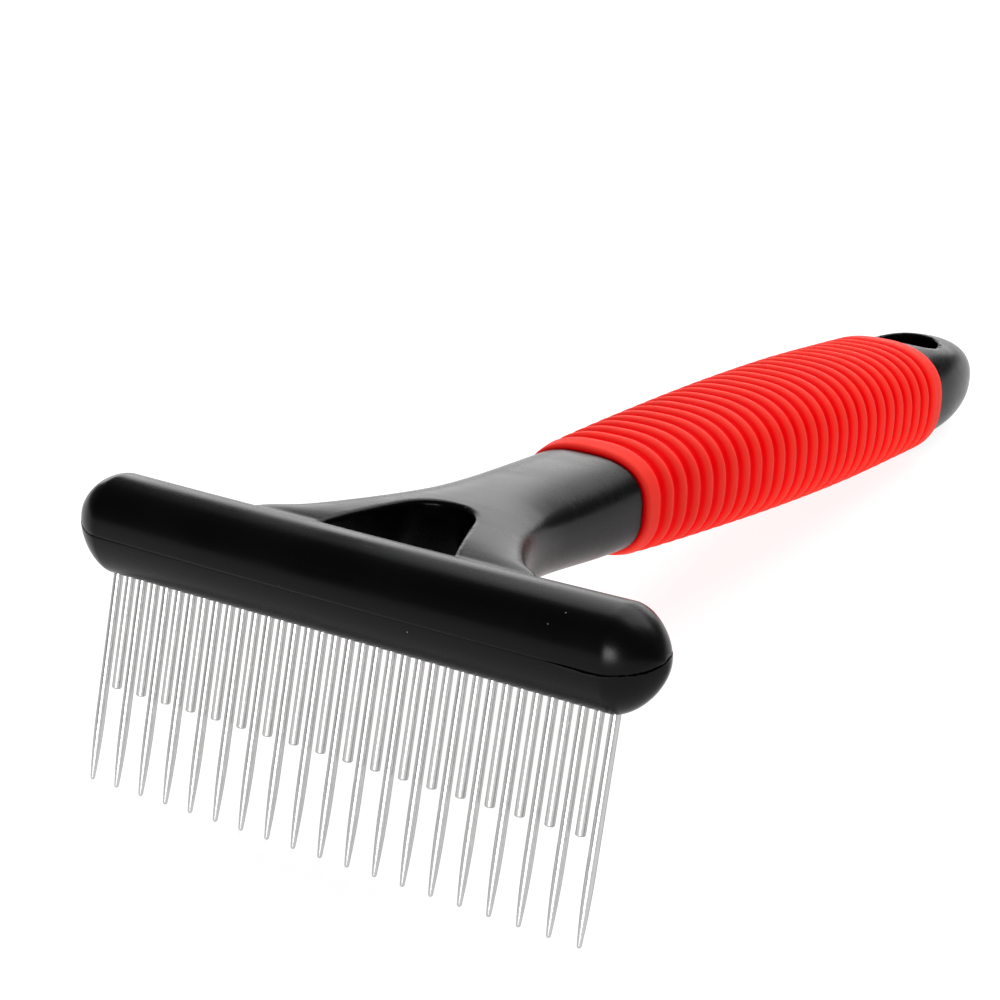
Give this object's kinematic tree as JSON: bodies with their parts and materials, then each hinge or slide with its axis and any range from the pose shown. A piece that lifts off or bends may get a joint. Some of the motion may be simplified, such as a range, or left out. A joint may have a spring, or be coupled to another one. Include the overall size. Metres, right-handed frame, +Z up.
{
  "type": "undercoat rake",
  "caption": "Pet undercoat rake: a round head bar with a row of long and short free-turning steel pins on a forked handle with a ribbed rubber grip and a hanging hole.",
  "frame": {"origin": "middle of the floor area that the tool covers when it lies on its long pins' points and the end of its handle", "axes": "+X along the head bar, +Y from the head towards the handle's end, +Z up"},
  "size_m": [0.0834, 0.175, 0.0374],
  "materials": {
    "black_moulding": "satin",
    "red_rubber": "matte",
    "stainless_steel": "satin polished"
  },
  "bodies": {
    "tool_body": {"handle_frame": "black_moulding", "head_lower_cover": "black_moulding", "grip_sleeve": "red_rubber"},
    "long_pin_01": {"long_pin_01": "stainless_steel"},
    "long_pin_02": {"long_pin_02": "stainless_steel"},
    "long_pin_03": {"long_pin_03": "stainless_steel"},
    "long_pin_04": {"long_pin_04": "stainless_steel"},
    "long_pin_05": {"long_pin_05": "stainless_steel"},
    "long_pin_06": {"long_pin_06": "stainless_steel"},
    "long_pin_07": {"long_pin_07": "stainless_steel"},
    "long_pin_08": {"long_pin_08": "stainless_steel"},
    "long_pin_09": {"long_pin_09": "stainless_steel"},
    "long_pin_10": {"long_pin_10": "stainless_steel"},
    "long_pin_11": {"long_pin_11": "stainless_steel"},
    "long_pin_12": {"long_pin_12": "stainless_steel"},
    "long_pin_13": {"long_pin_13": "stainless_steel"},
    "long_pin_14": {"long_pin_14": "stainless_steel"},
    "long_pin_15": {"long_pin_15": "stainless_steel"},
    "long_pin_16": {"long_pin_16": "stainless_steel"},
    "long_pin_17": {"long_pin_17": "stainless_steel"},
    "long_pin_18": {"long_pin_18": "stainless_steel"},
    "long_pin_19": {"long_pin_19": "stainless_steel"},
    "short_pin_01": {"short_pin_01": "stainless_steel"},
    "short_pin_02": {"short_pin_02": "stainless_steel"},
    "short_pin_03": {"short_pin_03": "stainless_steel"},
    "short_pin_04": {"short_pin_04": "stainless_steel"},
    "short_pin_05": {"short_pin_05": "stainless_steel"},
    "short_pin_06": {"short_pin_06": "stainless_steel"},
    "short_pin_07": {"short_pin_07": "stainless_steel"},
    "short_pin_08": {"short_pin_08": "stainless_steel"},
    "short_pin_09": {"short_pin_09": "stainless_steel"},
    "short_pin_10": {"short_pin_10": "stainless_steel"},
    "short_pin_11": {"short_pin_11": "stainless_steel"},
    "short_pin_12": {"short_pin_12": "stainless_steel"},
    "short_pin_13": {"short_pin_13": "stainless_steel"},
    "short_pin_14": {"short_pin_14": "stainless_steel"},
    "short_pin_15": {"short_pin_15": "stainless_steel"},
    "short_pin_16": {"short_pin_16": "stainless_steel"},
    "short_pin_17": {"short_pin_17": "stainless_steel"},
    "short_pin_18": {"short_pin_18": "stainless_steel"}
  },
  "joints": [
    {"name": "long_pin_01_spin", "type": "hinge", "parent": "tool_body", "child": "long_pin_01", "pos_m": [-0.036, -0.07904, 0.02475], "axis": [0, -0.3175, -0.9483], "continuous": true},
    {"name": "long_pin_02_spin", "type": "hinge", "parent": "tool_body", "child": "long_pin_02", "pos_m": [-0.032, -0.07904, 0.02475], "axis": [0, -0.3175, -0.9483], "continuous": true},
    {"name": "long_pin_03_spin", "type": "hinge", "parent": "tool_body", "child": "long_pin_03", "pos_m": [-0.028, -0.07904, 0.02475], "axis": [0, -0.3175, -0.9483], "continuous": true},
    {"name": "long_pin_04_spin", "type": "hinge", "parent": "tool_body", "child": "long_pin_04", "pos_m": [-0.024, -0.07904, 0.02475], "axis": [0, -0.3175, -0.9483], "continuous": true},
    {"name": "long_pin_05_spin", "type": "hinge", "parent": "tool_body", "child": "long_pin_05", "pos_m": [-0.02, -0.07904, 0.02475], "axis": [0, -0.3175, -0.9483], "continuous": true},
    {"name": "long_pin_06_spin", "type": "hinge", "parent": "tool_body", "child": "long_pin_06", "pos_m": [-0.016, -0.07904, 0.02475], "axis": [0, -0.3175, -0.9483], "continuous": true},
    {"name": "long_pin_07_spin", "type": "hinge", "parent": "tool_body", "child": "long_pin_07", "pos_m": [-0.012, -0.07904, 0.02475], "axis": [0, -0.3175, -0.9483], "continuous": true},
    {"name": "long_pin_08_spin", "type": "hinge", "parent": "tool_body", "child": "long_pin_08", "pos_m": [-0.008, -0.07904, 0.02475], "axis": [0, -0.3175, -0.9483], "continuous": true},
    {"name": "long_pin_09_spin", "type": "hinge", "parent": "tool_body", "child": "long_pin_09", "pos_m": [-0.004, -0.07904, 0.02475], "axis": [0, -0.3175, -0.9483], "continuous": true},
    {"name": "long_pin_10_spin", "type": "hinge", "parent": "tool_body", "child": "long_pin_10", "pos_m": [0, -0.07904, 0.02475], "axis": [0, -0.3175, -0.9483], "continuous": true},
    {"name": "long_pin_11_spin", "type": "hinge", "parent": "tool_body", "child": "long_pin_11", "pos_m": [0.004, -0.07904, 0.02475], "axis": [0, -0.3175, -0.9483], "continuous": true},
    {"name": "long_pin_12_spin", "type": "hinge", "parent": "tool_body", "child": "long_pin_12", "pos_m": [0.008, -0.07904, 0.02475], "axis": [0, -0.3175, -0.9483], "continuous": true},
    {"name": "long_pin_13_spin", "type": "hinge", "parent": "tool_body", "child": "long_pin_13", "pos_m": [0.012, -0.07904, 0.02475], "axis": [0, -0.3175, -0.9483], "continuous": true},
    {"name": "long_pin_14_spin", "type": "hinge", "parent": "tool_body", "child": "long_pin_14", "pos_m": [0.016, -0.07904, 0.02475], "axis": [0, -0.3175, -0.9483], "continuous": true},
    {"name": "long_pin_15_spin", "type": "hinge", "parent": "tool_body", "child": "long_pin_15", "pos_m": [0.02, -0.07904, 0.02475], "axis": [0, -0.3175, -0.9483], "continuous": true},
    {"name": "long_pin_16_spin", "type": "hinge", "parent": "tool_body", "child": "long_pin_16", "pos_m": [0.024, -0.07904, 0.02475], "axis": [0, -0.3175, -0.9483], "continuous": true},
    {"name": "long_pin_17_spin", "type": "hinge", "parent": "tool_body", "child": "long_pin_17", "pos_m": [0.028, -0.07904, 0.02475], "axis": [0, -0.3175, -0.9483], "continuous": true},
    {"name": "long_pin_18_spin", "type": "hinge", "parent": "tool_body", "child": "long_pin_18", "pos_m": [0.032, -0.07904, 0.02475], "axis": [0, -0.3175, -0.9483], "continuous": true},
    {"name": "long_pin_19_spin", "type": "hinge", "parent": "tool_body", "child": "long_pin_19", "pos_m": [0.036, -0.07904, 0.02475], "axis": [0, -0.3175, -0.9483], "continuous": true},
    {"name": "short_pin_01_spin", "type": "hinge", "parent": "tool_body", "child": "short_pin_01", "pos_m": [-0.034, -0.07904, 0.02475], "axis": [0, -0.3175, -0.9483], "continuous": true},
    {"name": "short_pin_02_spin", "type": "hinge", "parent": "tool_body", "child": "short_pin_02", "pos_m": [-0.03, -0.07904, 0.02475], "axis": [0, -0.3175, -0.9483], "continuous": true},
    {"name": "short_pin_03_spin", "type": "hinge", "parent": "tool_body", "child": "short_pin_03", "pos_m": [-0.026, -0.07904, 0.02475], "axis": [0, -0.3175, -0.9483], "continuous": true},
    {"name": "short_pin_04_spin", "type": "hinge", "parent": "tool_body", "child": "short_pin_04", "pos_m": [-0.022, -0.07904, 0.02475], "axis": [0, -0.3175, -0.9483], "continuous": true},
    {"name": "short_pin_05_spin", "type": "hinge", "parent": "tool_body", "child": "short_pin_05", "pos_m": [-0.018, -0.07904, 0.02475], "axis": [0, -0.3175, -0.9483], "continuous": true},
    {"name": "short_pin_06_spin", "type": "hinge", "parent": "tool_body", "child": "short_pin_06", "pos_m": [-0.014, -0.07904, 0.02475], "axis": [0, -0.3175, -0.9483], "continuous": true},
    {"name": "short_pin_07_spin", "type": "hinge", "parent": "tool_body", "child": "short_pin_07", "pos_m": [-0.01, -0.07904, 0.02475], "axis": [0, -0.3175, -0.9483], "continuous": true},
    {"name": "short_pin_08_spin", "type": "hinge", "parent": "tool_body", "child": "short_pin_08", "pos_m": [-0.006, -0.07904, 0.02475], "axis": [0, -0.3175, -0.9483], "continuous": true},
    {"name": "short_pin_09_spin", "type": "hinge", "parent": "tool_body", "child": "short_pin_09", "pos_m": [-0.002, -0.07904, 0.02475], "axis": [0, -0.3175, -0.9483], "continuous": true},
    {"name": "short_pin_10_spin", "type": "hinge", "parent": "tool_body", "child": "short_pin_10", "pos_m": [0.002, -0.07904, 0.02475], "axis": [0, -0.3175, -0.9483], "continuous": true},
    {"name": "short_pin_11_spin", "type": "hinge", "parent": "tool_body", "child": "short_pin_11", "pos_m": [0.006, -0.07904, 0.02475], "axis": [0, -0.3175, -0.9483], "continuous": true},
    {"name": "short_pin_12_spin", "type": "hinge", "parent": "tool_body", "child": "short_pin_12", "pos_m": [0.01, -0.07904, 0.02475], "axis": [0, -0.3175, -0.9483], "continuous": true},
    {"name": "short_pin_13_spin", "type": "hinge", "parent": "tool_body", "child": "short_pin_13", "pos_m": [0.014, -0.07904, 0.02475], "axis": [0, -0.3175, -0.9483], "continuous": true},
    {"name": "short_pin_14_spin", "type": "hinge", "parent": "tool_body", "child": "short_pin_14", "pos_m": [0.018, -0.07904, 0.02475], "axis": [0, -0.3175, -0.9483], "continuous": true},
    {"name": "short_pin_15_spin", "type": "hinge", "parent": "tool_body", "child": "short_pin_15", "pos_m": [0.022, -0.07904, 0.02475], "axis": [0, -0.3175, -0.9483], "continuous": true},
    {"name": "short_pin_16_spin", "type": "hinge", "parent": "tool_body", "child": "short_pin_16", "pos_m": [0.026, -0.07904, 0.02475], "axis": [0, -0.3175, -0.9483], "continuous": true},
    {"name": "short_pin_17_spin", "type": "hinge", "parent": "tool_body", "child": "short_pin_17", "pos_m": [0.03, -0.07904, 0.02475], "axis": [0, -0.3175, -0.9483], "continuous": true},
    {"name": "short_pin_18_spin", "type": "hinge", "parent": "tool_body", "child": "short_pin_18", "pos_m": [0.034, -0.07904, 0.02475], "axis": [0, -0.3175, -0.9483], "continuous": true}
  ]
}
